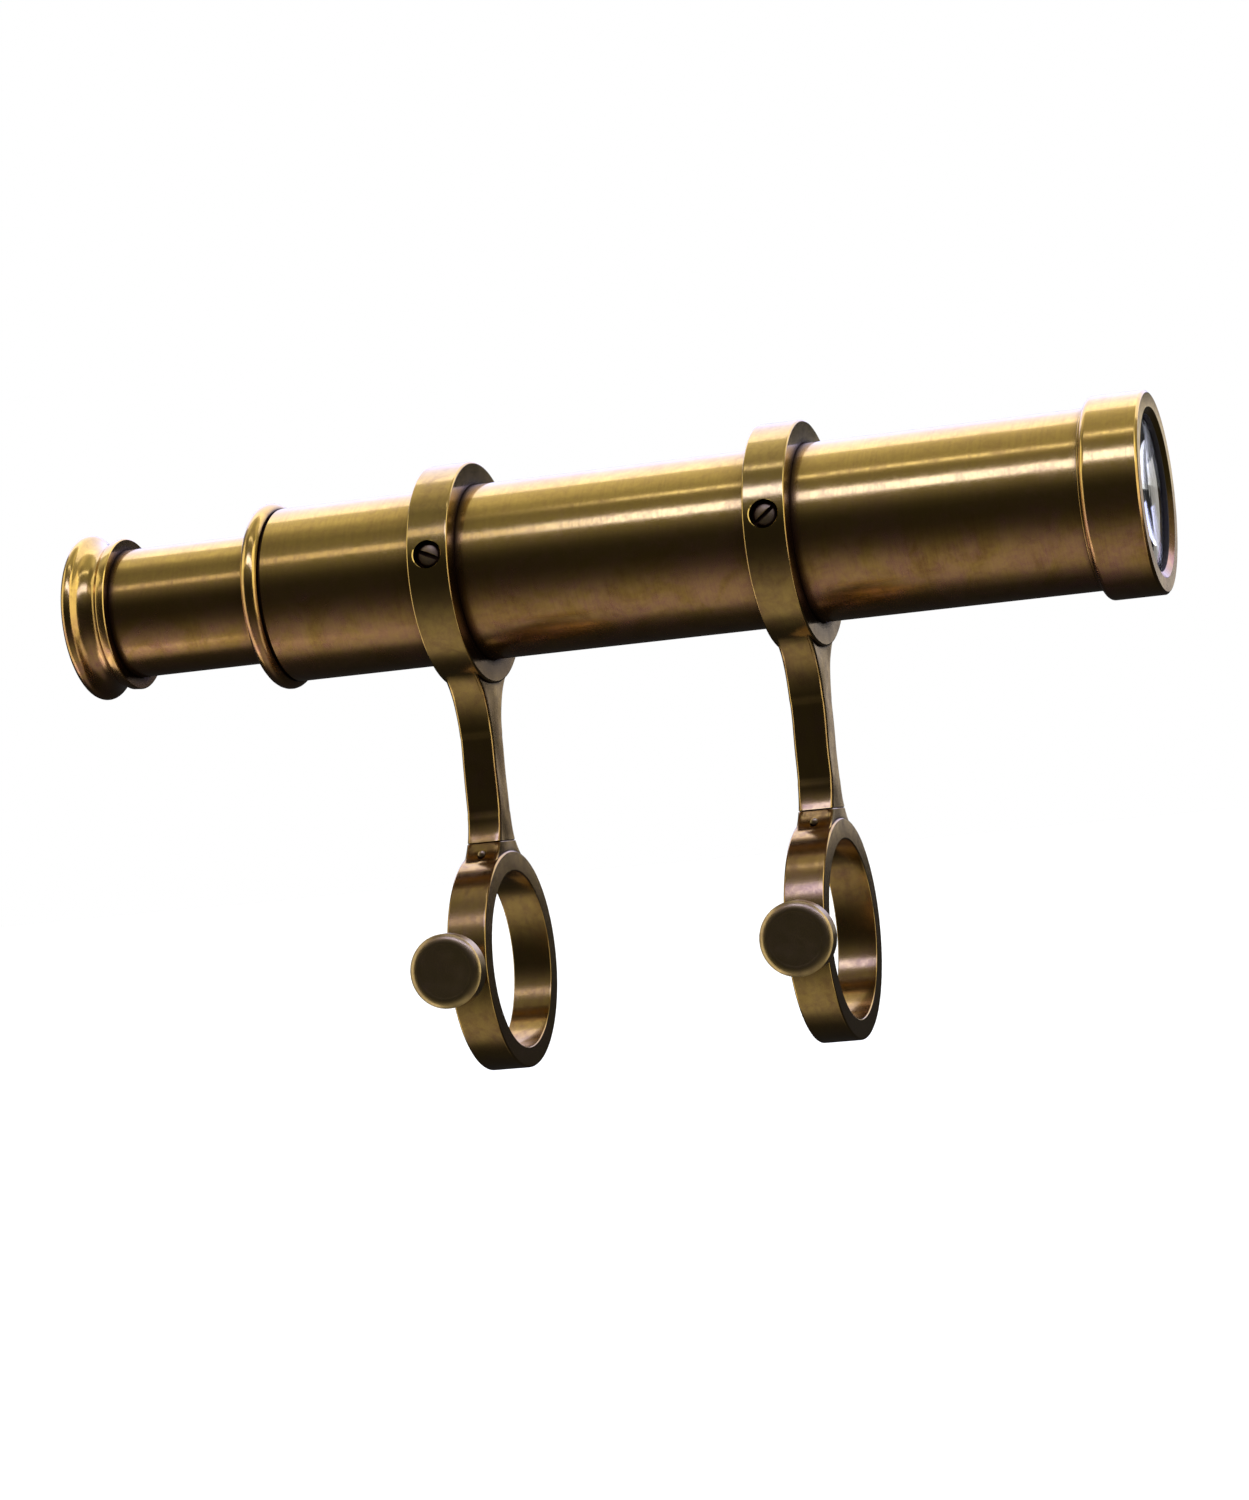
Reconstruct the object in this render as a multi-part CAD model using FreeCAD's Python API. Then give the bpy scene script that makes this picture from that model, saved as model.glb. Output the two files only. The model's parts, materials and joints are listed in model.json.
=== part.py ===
"""Finder scope on two ring brackets: a small brass draw-tube telescope carried above a larger one.

Row frame, millimetres: +X along the optical axis towards the objective, +Z up along the bracket
arms, -Y towards the side that the screws are on. The origin is the centre of the rear clamp bore.
"""
import FreeCAD, Part
import math
import os

Vector = FreeCAD.Vector

# ---- driving dimensions -------------------------------------------------------------------------
AXIS_HEIGHT = 75.0            # finder's optical axis above the clamp bores' axis
RING_SPACING = 66.2           # rear bracket to front bracket

TUBE_R = 17.0                 # main tube, outside
TUBE_WALL = 1.2
TUBE_REAR_X = -36.0
TUBE_FRONT_X = 124.3

DRAW_R = 12.7                 # draw tube, outside
DRAW_WALL = 0.9
DRAW_REAR_X = -72.6
DRAW_FRONT_X = 0.0
RUNNING_GAP = 0.05            # radial clearance of every running fit

COLLAR_REAR_X = -40.0         # guide collar: bead outside, spigot inside the main tube
COLLAR_SPIGOT_X = -16.0
BEAD_R = 18.3
BEAD_CREST = 1.7              # the bead is highest this far from the collar's end
BEAD_FOOT_R = 17.1
GROOVE_WIDTH = 0.5            # between the bead and the main tube
GROOVE_R = 16.4
LINER_X = (-32.0, -22.0)
LINER_GROOVE_R = 13.6
LINER_GAP = 0.03

STOP_RING_WIDTH = 4.0         # on the draw tube's inner end; it meets the spigot when drawn out
STOP_RING_R = 15.4

CELL_R = 19.0                 # objective cell
CELL_FRONT_X = 135.8
CELL_SPIGOT_X = 116.3
CELL_OPENING_R = 14.6
CELL_BACK_STEP = 0.5          # flat step at the back of the collar, before the rolled edge
CELL_ROLL = 1.8               # length of the rolled edge
CELL_BEVEL = 0.5
CELL_MOUTH = (0.9, 1.3)       # bevel of the opening, along the axis and outwards
LENS_BORE_R = 14.95
LENS_SEAT_X = 134.0

CROWN_EDGE = 1.9              # front lens
CROWN_FRONT_SAG = 1.2
CROWN_REAR_SAG = 1.9
SPACER_THICKNESS = 0.4
SPACER_BORE_R = 14.0
FLINT_EDGE = 3.4
RETAINER_THICKNESS = 2.4
RETAINER_BORE_R = 13.3
RETAINER_NOTCH = (1.0, 2.0)   # depth and width of the spanner notches

GLARE_STOPS = {"front": (98.0, 12.0), "rear": (48.0, 9.0)}    # front face and aperture radius
GLARE_STOP_LENGTH = 4.0
GLARE_STOP_WALL = 0.8

EYECUP_REAR_X = -78.8
EYECUP_FRONT_X = -69.8
EYECUP_RIM_R = 16.4
EYECUP_WAIST_R = 14.15
EYECUP_SHOULDER_R = 15.0
EYE_HOLE_R = 5.0
DISH_R = 13.4
DISH_FLOOR_X = -74.4
DISH_FLOOR_THICKNESS = 1.0
EYECUP_BACK_R = 10.8          # recess behind the dish's floor

BARREL_FRONT_X = -46.4        # eyepiece barrel
BARREL_SETBACK = 0.2          # behind the end of the draw tube
EYE_LENS_R = 7.9
EYE_LENS_SAG = 1.8
EYE_LENS_EDGE = 1.6
EYE_LENS_SEAT_X = -71.4
EYE_LENS_POCKET = 5.4
EYE_LENS_RING_WALL = 1.15
EYE_OPENING_R = 6.6
FIELD_LENS_R = 10.5
FIELD_LENS_SAG = 2.4
FIELD_LENS_EDGE = 1.6
FIELD_LENS_SEAT_X = -51.4
FIELD_LENS_RING_WALL = 1.25
FIELD_SHOULDER_R = 9.8
FIELD_STOP_X = -58.0
FIELD_STOP_APERTURE = 6.0
INNER_STOP_THICKNESS = 1.0
CELL_RING_THICKNESS = 1.3

ERECTOR_X = (-34.0, -4.4)
ERECTOR_LENS_R = 10.3
ERECTOR_BORE_R = 9.6
ERECTOR_SAG = 1.7
ERECTOR_LENS_EDGE = 1.6
ERECTOR_STOP_X = -19.2
ERECTOR_STOP_APERTURE = 3.2
ERECTOR_RING_BORE_R = 8.6

UPPER_RING_R = 21.5
UPPER_RING_WIDTH = 8.2
CLAMP_RING_R = 21.0
CLAMP_RING_WIDTH = 7.8
CLAMP_BORE_R = 17.0
RING_CHAMFER = 0.45

ARM_THICKNESS = 6.8           # along X
ARM_HALF_DEPTH = 3.25         # along Y, between the two milled faces
ARM_STEP = 0.25               # the flares stand this much proud of the milled faces
UPPER_FLARE_R = 15.0
LOWER_FLARE_R = 11.0
FLARE_BITE = 0.1              # how far a flare runs into its ring
ARM_EDGE = 0.5
ARM_JOINT_Z = 23.0            # the arm sits on the clamp ring's foot here
TENON = (3.6, 4.6, 4.8)       # along X, Y and down into the foot
ARM_PIN_R = 0.8
ARM_PIN_Z = 20.7
ARM_PIN_HALF_LENGTH = 6.9

SCREW_ANGLE = 9.0             # ring screws, degrees above the -Y direction
SCREW_HEAD_R = 2.3
SCREW_HEAD_HEIGHT = 1.6
SCREW_HEAD_TOP_R = 20.6       # distance from the finder's axis
SCREW_SHANK_R = 1.45
SCREW_HOLE_R = 1.5
COUNTERBORE_R = 2.75
SCREW_SLOT = (0.7, 0.8)       # width and depth
SCREW_SLOT_TURNS = (35.0, 50.0)

THUMB_HEAD_R = 7.0
THUMB_HEAD_THICKNESS = 4.0
THUMB_FLAT_R = 4.9            # flat middle of the face; a hollow bevel runs from it to the rim
THUMB_BEVEL = 0.7
THUMB_EDGE = 0.3
THUMB_NECK_R = 3.4
THUMB_NECK_LENGTH = 1.6
THUMB_SHANK_R = 2.45
THUMB_HOLE_R = 2.5
REAR_THUMB_FACE_Y = -34.0
FRONT_THUMB_FACE_Y = -28.5
PAD_R = 2.25
PAD_THICKNESS = 1.0
PAD_STEM_R = 1.0
PAD_STEM_LENGTH = 1.8
PAD_EDGE = 0.3
STEM_END_GAP = 0.2
PAD_SETBACK = 0.05            # pad face behind the clamp bore's wall at rest


LENS_R = LENS_BORE_R - RUNNING_GAP
TUBE_BORE_R = TUBE_R - TUBE_WALL
CARTRIDGE_R = DRAW_R - DRAW_WALL      # the two brass cartridges fit the draw tube's bore
CLEAR = 30.0                  # far enough to run right through any wall


# ---- shape helpers ------------------------------------------------------------------------------
def turned(outline, axis_z=AXIS_HEIGHT):
    """Solid of revolution about an X axis at the given height.

    Each outline entry is a point (x, radius), reached by a straight run, or a pair of points,
    reached by an arc through the first one to the second one.
    """
    edges = []
    here = outline[0]
    for entry in outline[1:] + outline[:1]:
        is_arc = isinstance(entry[0], tuple)
        there = entry[1] if is_arc else entry
        start = Vector(here[0], 0, axis_z + here[1])
        end = Vector(there[0], 0, axis_z + there[1])
        if is_arc:
            middle = Vector(entry[0][0], 0, axis_z + entry[0][1])
            edges.append(Part.Arc(start, middle, end).toShape())
        else:
            edges.append(Part.LineSegment(start, end).toShape())
        here = there
    face = Part.Face(Part.Wire(edges))
    return face.revolve(Vector(0, 0, axis_z), Vector(1, 0, 0), 360)


def tube(x_low, x_high, outer, inner, axis_z=AXIS_HEIGHT):
    """Plain turned ring or tube."""
    return turned([(x_low, inner), (x_low, outer), (x_high, outer), (x_high, inner)], axis_z)


def peg(radius, start, end):
    """Round bar from one point to another."""
    run = end - start
    return Part.makeCylinder(radius, run.Length, start, run)


def block(low, high):
    """Box between two corners."""
    size = high - low
    return Part.makeBox(size.x, size.y, size.z, low)


def sphere_radius(lens_radius, sag):
    """Radius of the sphere whose cap has this edge radius and height."""
    return (lens_radius ** 2 + sag ** 2) / (2 * abs(sag))


def cap_height(lens_radius, sag, at):
    """How far a spherical lens face stands beyond its own edge at the radius 'at'."""
    sphere = sphere_radius(lens_radius, sag)
    height = math.sqrt(sphere ** 2 - at ** 2) - math.sqrt(sphere ** 2 - lens_radius ** 2)
    return math.copysign(height, sag)


def lens(rear_x, front_x, radius, rear_sag, front_sag):
    """Lens whose edge runs from rear_x to front_x. A sag above 0 is convex, below 0 hollow."""

    def face(edge_x, sag, outward, end):
        if sag == 0:
            return end
        middle_x = edge_x + outward * cap_height(radius, sag, radius / 2)
        return ((middle_x, radius / 2), end)

    return turned([
        (rear_x - rear_sag, 0.0),
        face(rear_x, rear_sag, -1, (rear_x, radius)),
        (front_x, radius),
        face(front_x, front_sag, 1, (front_x + front_sag, 0.0)),
    ])


# ---- objective end ------------------------------------------------------------------------------
def main_tube():
    barrel = tube(TUBE_REAR_X, TUBE_FRONT_X, TUBE_R, TUBE_BORE_R)
    for x in (0.0, RING_SPACING):
        barrel = barrel.cut(peg(SCREW_HOLE_R, screw_point(x, 0.0), screw_point(x, BEAD_R)))
    return barrel


def objective_cell():
    """Collar with a rolled back edge, a bevelled rim and a spigot that screws into the main tube."""
    mouth_depth, mouth_out = CELL_MOUTH
    return turned([
        (CELL_SPIGOT_X, LENS_BORE_R),
        (CELL_SPIGOT_X, TUBE_BORE_R),
        (TUBE_FRONT_X, TUBE_BORE_R),
        (TUBE_FRONT_X, TUBE_R + CELL_BACK_STEP),
        (TUBE_FRONT_X + CELL_BACK_STEP, TUBE_R + CELL_BACK_STEP),
        ((TUBE_FRONT_X + 0.8, CELL_R - 0.4), (TUBE_FRONT_X + CELL_ROLL, CELL_R)),
        (CELL_FRONT_X - CELL_BEVEL, CELL_R),
        (CELL_FRONT_X, CELL_R - CELL_BEVEL),
        (CELL_FRONT_X, CELL_OPENING_R + mouth_out),
        (CELL_FRONT_X - mouth_depth, CELL_OPENING_R),
        (LENS_SEAT_X, CELL_OPENING_R),
        (LENS_SEAT_X, LENS_BORE_R),
    ])


def objective_stack():
    """The four pieces behind the cell's lip, from the front lens back to the threaded retainer."""
    crown_front = LENS_SEAT_X - cap_height(LENS_R, CROWN_FRONT_SAG, CELL_OPENING_R)
    crown_rear = crown_front - CROWN_EDGE
    spacer_front = crown_rear - cap_height(LENS_R, CROWN_REAR_SAG, SPACER_BORE_R)
    spacer_rear = spacer_front - SPACER_THICKNESS
    flint_rear = spacer_rear - FLINT_EDGE
    retainer_rear = flint_rear - RETAINER_THICKNESS
    retainer = tube(retainer_rear, flint_rear, LENS_BORE_R, RETAINER_BORE_R)
    notch_depth, notch_width = RETAINER_NOTCH
    notch = block(
        Vector(retainer_rear - notch_depth, -notch_width / 2, AXIS_HEIGHT - CELL_R),
        Vector(retainer_rear + notch_depth, notch_width / 2, AXIS_HEIGHT + CELL_R),
    )
    return {
        "crown_lens": lens(crown_rear, crown_front, LENS_R, CROWN_REAR_SAG, CROWN_FRONT_SAG),
        "lens_spacer_ring": tube(spacer_rear, spacer_front, LENS_R, SPACER_BORE_R),
        "flint_lens": lens(flint_rear, spacer_rear, LENS_R, 0, -CROWN_REAR_SAG),
        "objective_retaining_ring": retainer.cut(notch),
    }


def glare_stop(front_x, aperture):
    """Cup-shaped blackened ring pushed into the main tube; its thin floor faces the objective."""
    rear_x = front_x - GLARE_STOP_LENGTH
    inner = TUBE_BORE_R - GLARE_STOP_WALL
    return turned([
        (rear_x, inner),
        (rear_x, TUBE_BORE_R),
        (front_x, TUBE_BORE_R),
        (front_x, aperture),
        (front_x - GLARE_STOP_WALL, aperture),
        (front_x - GLARE_STOP_WALL, inner),
    ])


# ---- guide for the draw tube --------------------------------------------------------------------
def guide_collar():
    """Rounded bead outside the main tube, groove beside it, bored spigot inside the tube."""
    bore = DRAW_R + RUNNING_GAP
    groove_x = TUBE_REAR_X - GROOVE_WIDTH
    liner_rear, liner_front = LINER_X
    return turned([
        (COLLAR_REAR_X, bore),
        (COLLAR_REAR_X, GROOVE_R),
        ((COLLAR_REAR_X + BEAD_CREST, BEAD_R), (groove_x, BEAD_FOOT_R)),
        (groove_x, GROOVE_R),
        (TUBE_REAR_X, GROOVE_R),
        (TUBE_REAR_X, TUBE_BORE_R),
        (COLLAR_SPIGOT_X, TUBE_BORE_R),
        (COLLAR_SPIGOT_X, bore),
        (liner_front, bore),
        (liner_front, LINER_GROOVE_R),
        (liner_rear, LINER_GROOVE_R),
        (liner_rear, bore),
    ])


def guide_liner():
    return tube(LINER_X[0], LINER_X[1], LINER_GROOVE_R, DRAW_R + LINER_GAP)


# ---- draw tube and its eyepiece -----------------------------------------------------------------
def eyecup():
    """Dished eyecup: rolled rim, hollow waist and a sharp shoulder over the draw tube's end."""
    floor_front = DISH_FLOOR_X + DISH_FLOOR_THICKNESS
    return turned([
        (floor_front, EYE_HOLE_R),
        (DISH_FLOOR_X, EYE_HOLE_R),
        ((DISH_FLOOR_X - 1.4, 10.4), (EYECUP_REAR_X + 0.9, DISH_R)),
        ((EYECUP_REAR_X + 0.1, DISH_R + 0.8), (EYECUP_REAR_X + 0.2, EYECUP_RIM_R - 0.9)),
        ((EYECUP_REAR_X + 1.2, EYECUP_RIM_R), (EYECUP_REAR_X + 2.6, EYECUP_RIM_R - 0.6)),
        ((EYECUP_FRONT_X - 3.6, EYECUP_WAIST_R), (EYECUP_FRONT_X - 1.5, EYECUP_SHOULDER_R - 0.1)),
        (EYECUP_FRONT_X - 0.2, EYECUP_SHOULDER_R),
        (EYECUP_FRONT_X, EYECUP_SHOULDER_R - 0.2),
        (EYECUP_FRONT_X, DRAW_R),
        (DRAW_REAR_X, DRAW_R),
        (DRAW_REAR_X, EYECUP_BACK_R),
        (floor_front, EYECUP_BACK_R),
    ])


def draw_tube():
    return tube(DRAW_REAR_X, DRAW_FRONT_X, DRAW_R, CARTRIDGE_R)


def stop_ring():
    return tube(DRAW_FRONT_X - STOP_RING_WIDTH, DRAW_FRONT_X, STOP_RING_R, DRAW_R)


def eyepiece_barrel():
    """Cartridge with a seat for the eye lens at its rear end and one for the field lens in front."""
    rear_x = DRAW_REAR_X + BARREL_SETBACK
    field_bore = FIELD_LENS_R + RUNNING_GAP
    eye_bore = EYE_LENS_R + RUNNING_GAP
    return turned([
        (rear_x, EYE_OPENING_R),
        (rear_x, CARTRIDGE_R),
        (BARREL_FRONT_X, CARTRIDGE_R),
        (BARREL_FRONT_X, field_bore),
        (FIELD_LENS_SEAT_X, field_bore),
        (FIELD_LENS_SEAT_X, FIELD_SHOULDER_R),
        (EYE_LENS_SEAT_X + EYE_LENS_POCKET, FIELD_SHOULDER_R),
        (EYE_LENS_SEAT_X + EYE_LENS_POCKET, eye_bore),
        (EYE_LENS_SEAT_X, eye_bore),
        (EYE_LENS_SEAT_X, EYE_OPENING_R),
    ])


def retaining_ring(lens_front, lens_radius, sag, wall):
    """Threaded ring whose bore edge rests on a lens's convex front face."""
    outer = lens_radius + RUNNING_GAP
    bore = outer - wall
    rear_x = lens_front + cap_height(lens_radius, sag, bore)
    return tube(rear_x, rear_x + CELL_RING_THICKNESS, outer, bore)


def eyepiece_pieces():
    """Eye lens, field stop and field lens with their retaining rings, inside the barrel."""
    eye_front = EYE_LENS_SEAT_X + EYE_LENS_EDGE
    field_front = FIELD_LENS_SEAT_X + FIELD_LENS_EDGE
    stop_front = FIELD_STOP_X + INNER_STOP_THICKNESS
    return {
        "eye_lens": lens(EYE_LENS_SEAT_X, eye_front, EYE_LENS_R, 0, EYE_LENS_SAG),
        "eye_lens_ring": retaining_ring(eye_front, EYE_LENS_R, EYE_LENS_SAG, EYE_LENS_RING_WALL),
        "field_stop": tube(FIELD_STOP_X, stop_front, FIELD_SHOULDER_R, FIELD_STOP_APERTURE),
        "field_lens": lens(FIELD_LENS_SEAT_X, field_front, FIELD_LENS_R, 0, FIELD_LENS_SAG),
        "field_lens_ring": retaining_ring(
            field_front, FIELD_LENS_R, FIELD_LENS_SAG, FIELD_LENS_RING_WALL
        ),
    }


def erector_pieces():
    """Erecting cartridge: two plano-convex lenses, bulges facing, each held by a threaded ring."""
    rear_x, front_x = ERECTOR_X
    wide_bore = ERECTOR_LENS_R + RUNNING_GAP
    lens_room = CELL_RING_THICKNESS + ERECTOR_LENS_EDGE
    seat_depth = lens_room + cap_height(ERECTOR_LENS_R, ERECTOR_SAG, ERECTOR_BORE_R)
    body = turned([
        (rear_x, wide_bore),
        (rear_x, CARTRIDGE_R),
        (front_x, CARTRIDGE_R),
        (front_x, wide_bore),
        (front_x - seat_depth, wide_bore),
        (front_x - seat_depth, ERECTOR_BORE_R),
        (rear_x + seat_depth, ERECTOR_BORE_R),
        (rear_x + seat_depth, wide_bore),
    ])
    rear_ring = tube(rear_x, rear_x + CELL_RING_THICKNESS, wide_bore, ERECTOR_RING_BORE_R)
    front_ring = tube(front_x - CELL_RING_THICKNESS, front_x, wide_bore, ERECTOR_RING_BORE_R)
    rear_flat = rear_x + CELL_RING_THICKNESS
    front_flat = front_x - CELL_RING_THICKNESS
    stop_rear = ERECTOR_STOP_X - INNER_STOP_THICKNESS / 2
    stop_front = ERECTOR_STOP_X + INNER_STOP_THICKNESS / 2
    return {
        "erector_tube": body,
        "rear_erector_lens": lens(rear_flat, rear_x + lens_room, ERECTOR_LENS_R, 0, ERECTOR_SAG),
        "front_erector_lens": lens(front_x - lens_room, front_flat, ERECTOR_LENS_R, ERECTOR_SAG, 0),
        "erector_stop": tube(stop_rear, stop_front, ERECTOR_BORE_R, ERECTOR_STOP_APERTURE),
        "erector_rings": Part.makeCompound([rear_ring, front_ring]),
    }


# ---- brackets -----------------------------------------------------------------------------------
def flare_centre(ring_r, ring_z, flare_r, towards):
    """Centre of the hollow flare that runs from the arm's side into a ring (towards: +1 up)."""
    y = ARM_HALF_DEPTH + ARM_STEP + flare_r
    reach = ring_r - FLARE_BITE + flare_r
    return y, ring_z - towards * math.sqrt(reach ** 2 - y ** 2)


def flare_edge(ring_r, ring_z, flare_r, towards, side):
    """Arc from the arm's side to the ring, and its three points from the arm outwards."""
    y, z = flare_centre(ring_r, ring_z, flare_r, towards)
    to_ring = math.atan2(towards * (ring_z - z), -y)
    angles = [math.pi, (math.pi + to_ring) / 2, to_ring]
    return [
        Vector(0, side * (y + flare_r * math.cos(a)), z + towards * flare_r * math.sin(a))
        for a in angles
    ]


def arm_blank():
    """Arm with a hollow flare at each end, as one slab between the two rings of a bracket."""
    edges = []
    upper = [flare_edge(UPPER_RING_R, AXIS_HEIGHT, UPPER_FLARE_R, 1, s) for s in (-1, 1)]
    lower = [flare_edge(CLAMP_RING_R, 0.0, LOWER_FLARE_R, -1, s) for s in (-1, 1)]
    for side, top, foot in ((-1, upper[0], lower[0]), (1, upper[1], lower[1])):
        face_y = side * ARM_HALF_DEPTH
        face_top = Vector(0, face_y, top[0].z - ARM_STEP)
        face_foot = Vector(0, face_y, foot[0].z + ARM_STEP)
        edges.append(Part.Arc(top[2], top[1], top[0]).toShape())
        edges.append(Part.makeLine(top[0], face_top))
        edges.append(Part.makeLine(face_top, face_foot))
        edges.append(Part.makeLine(face_foot, foot[0]))
        edges.append(Part.Arc(foot[0], foot[1], foot[2]).toShape())
    edges.append(Part.makeLine(upper[0][2], upper[1][2]))
    edges.append(Part.makeLine(lower[0][2], lower[1][2]))
    face = Part.Face(Part.Wire(Part.__sortEdges__(edges)))
    face.translate(Vector(-ARM_THICKNESS / 2, 0, 0))
    slab = face.extrude(Vector(ARM_THICKNESS, 0, 0))
    tiny = 1e-6
    side_edges = [e for e in slab.Edges if abs(abs(e.CenterOfMass.x) - ARM_THICKNESS / 2) < tiny]
    end_z = (upper[0][2].z, lower[0][2].z)
    soft = [e for e in side_edges if min(abs(e.CenterOfMass.z - z) for z in end_z) > tiny]
    return slab.makeChamfer(ARM_EDGE, soft)


def ring_blank(width, radius, axis_z):
    """Turned bracket ring with chamfered outer edges; the bore is cut once the arm is on."""
    half = width / 2
    return turned([
        (-half, 0.0),
        (-half, radius - RING_CHAMFER),
        (-half + RING_CHAMFER, radius),
        (half - RING_CHAMFER, radius),
        (half, radius - RING_CHAMFER),
        (half, 0.0),
    ], axis_z)


def bore_cutter(radius, axis_z):
    return peg(radius, Vector(-CLEAR, 0, axis_z), Vector(CLEAR, 0, axis_z))


def half_space(above):
    """Everything above (or below) the plane where an arm meets its foot."""
    low = ARM_JOINT_Z if above else -CLEAR
    high = AXIS_HEIGHT + CLEAR if above else ARM_JOINT_Z
    return block(Vector(-CLEAR, -CLEAR, low), Vector(CLEAR, CLEAR, high))


def tenon_block(x):
    size_x, size_y, depth = TENON
    low = Vector(x - size_x / 2, -size_y / 2, ARM_JOINT_Z - depth)
    return block(low, Vector(x + size_x / 2, size_y / 2, ARM_JOINT_Z + 1.0))


def arm_pin(x):
    """Round pin through the foot and the arm's tenon."""
    half = ARM_PIN_HALF_LENGTH
    return peg(ARM_PIN_R, Vector(x, -half, ARM_PIN_Z), Vector(x, half, ARM_PIN_Z))


def bracket(x):
    """Upper ring and arm in one casting, with a tenon at the foot and a counterbored screw hole."""
    casting = ring_blank(UPPER_RING_WIDTH, UPPER_RING_R, AXIS_HEIGHT)
    casting = casting.fuse(arm_blank().common(half_space(True)))
    casting = casting.fuse(tenon_block(0.0))
    casting = casting.cut(bore_cutter(TUBE_R, AXIS_HEIGHT))
    casting = casting.removeSplitter()
    casting.translate(Vector(x, 0, 0))
    casting = casting.cut(peg(SCREW_HOLE_R, screw_point(x, 0.0), screw_point(x, CLEAR)))
    seat = SCREW_HEAD_TOP_R - SCREW_HEAD_HEIGHT
    casting = casting.cut(peg(COUNTERBORE_R, screw_point(x, seat), screw_point(x, CLEAR)))
    return casting.cut(arm_pin(x))


def clamp_ring(x):
    """Lower ring with the arm's foot: clamp bore, mortise, pin hole and thumb-screw hole."""
    ring = ring_blank(CLAMP_RING_WIDTH, CLAMP_RING_R, 0.0)
    ring = ring.fuse(arm_blank().common(half_space(False)))
    ring = ring.cut(bore_cutter(CLAMP_BORE_R, 0.0))
    ring = ring.removeSplitter()
    ring.translate(Vector(x, 0, 0))
    ring = ring.cut(tenon_block(x))
    ring = ring.cut(arm_pin(x))
    return ring.cut(peg(THUMB_HOLE_R, Vector(x, -CLEAR, 0), Vector(x, 0, 0)))


# ---- screws -------------------------------------------------------------------------------------
def screw_point(x, radius):
    """Point on a ring screw's axis, at a distance from the finder's axis."""
    angle = math.radians(SCREW_ANGLE)
    return Vector(x, -radius * math.cos(angle), AXIS_HEIGHT + radius * math.sin(angle))


def ring_screw(x, slot_turn):
    """Slotted cheese-head screw through the ring and the main tube's wall."""
    seat = SCREW_HEAD_TOP_R - SCREW_HEAD_HEIGHT
    head = peg(SCREW_HEAD_R, screw_point(x, seat), screw_point(x, SCREW_HEAD_TOP_R))
    shank = peg(SCREW_SHANK_R, screw_point(x, TUBE_BORE_R), screw_point(x, seat))
    slot_width, slot_depth = SCREW_SLOT
    slot = block(
        Vector(-SCREW_HEAD_R - 1, -slot_width / 2, -slot_depth),
        Vector(SCREW_HEAD_R + 1, slot_width / 2, 1),
    )
    slot.rotate(Vector(0, 0, 0), Vector(0, 0, 1), slot_turn)
    slot.rotate(Vector(0, 0, 0), Vector(1, 0, 0), 90 - SCREW_ANGLE)
    slot.translate(screw_point(x, SCREW_HEAD_TOP_R))
    return head.fuse(shank).cut(slot)


def thumb_screw(x, face_y):
    """Plain disc head with a bevelled face, a short neck and a shank bored for the pad's stem."""
    tip_y = -(CLAMP_BORE_R + PAD_SETBACK + PAD_THICKNESS)
    back_y = face_y + THUMB_HEAD_THICKNESS
    neck_y = back_y + THUMB_NECK_LENGTH
    bore = PAD_STEM_R + RUNNING_GAP
    bore_y = tip_y - PAD_STEM_LENGTH - STEM_END_GAP
    outline = [
        (face_y, 0.0),
        (face_y, THUMB_FLAT_R),
        ((face_y + 0.2 * THUMB_BEVEL, 6.2), (face_y + THUMB_BEVEL, THUMB_HEAD_R)),
        (back_y - THUMB_EDGE, THUMB_HEAD_R),
        (back_y, THUMB_HEAD_R - THUMB_EDGE),
        (back_y, THUMB_NECK_R),
        (neck_y, THUMB_NECK_R),
        (neck_y, THUMB_SHANK_R),
        (tip_y, THUMB_SHANK_R),
        (tip_y, bore),
        (bore_y, bore),
        (bore_y, 0.0),
    ]
    return across(turned(outline, 0.0), x)


def pressure_pad(x):
    """Small button on a stem in the thumb screw's tip; it bears on the clamped tube."""
    face_y = -(CLAMP_BORE_R + PAD_SETBACK)
    back_y = face_y - PAD_THICKNESS
    outline = [
        (face_y, 0.0),
        (face_y, PAD_R - PAD_EDGE),
        (face_y - PAD_EDGE, PAD_R),
        (back_y, PAD_R),
        (back_y, PAD_STEM_R),
        (back_y - PAD_STEM_LENGTH, PAD_STEM_R),
        (back_y - PAD_STEM_LENGTH, 0.0),
    ]
    return across(turned(outline, 0.0), x)


def across(shape, x):
    """Turn a piece made along X so that it lies along Y, at the given place along the scope."""
    shape.rotate(Vector(0, 0, 0), Vector(0, 0, 1), 90)
    shape.translate(Vector(x, 0, 0))
    return shape


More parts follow.
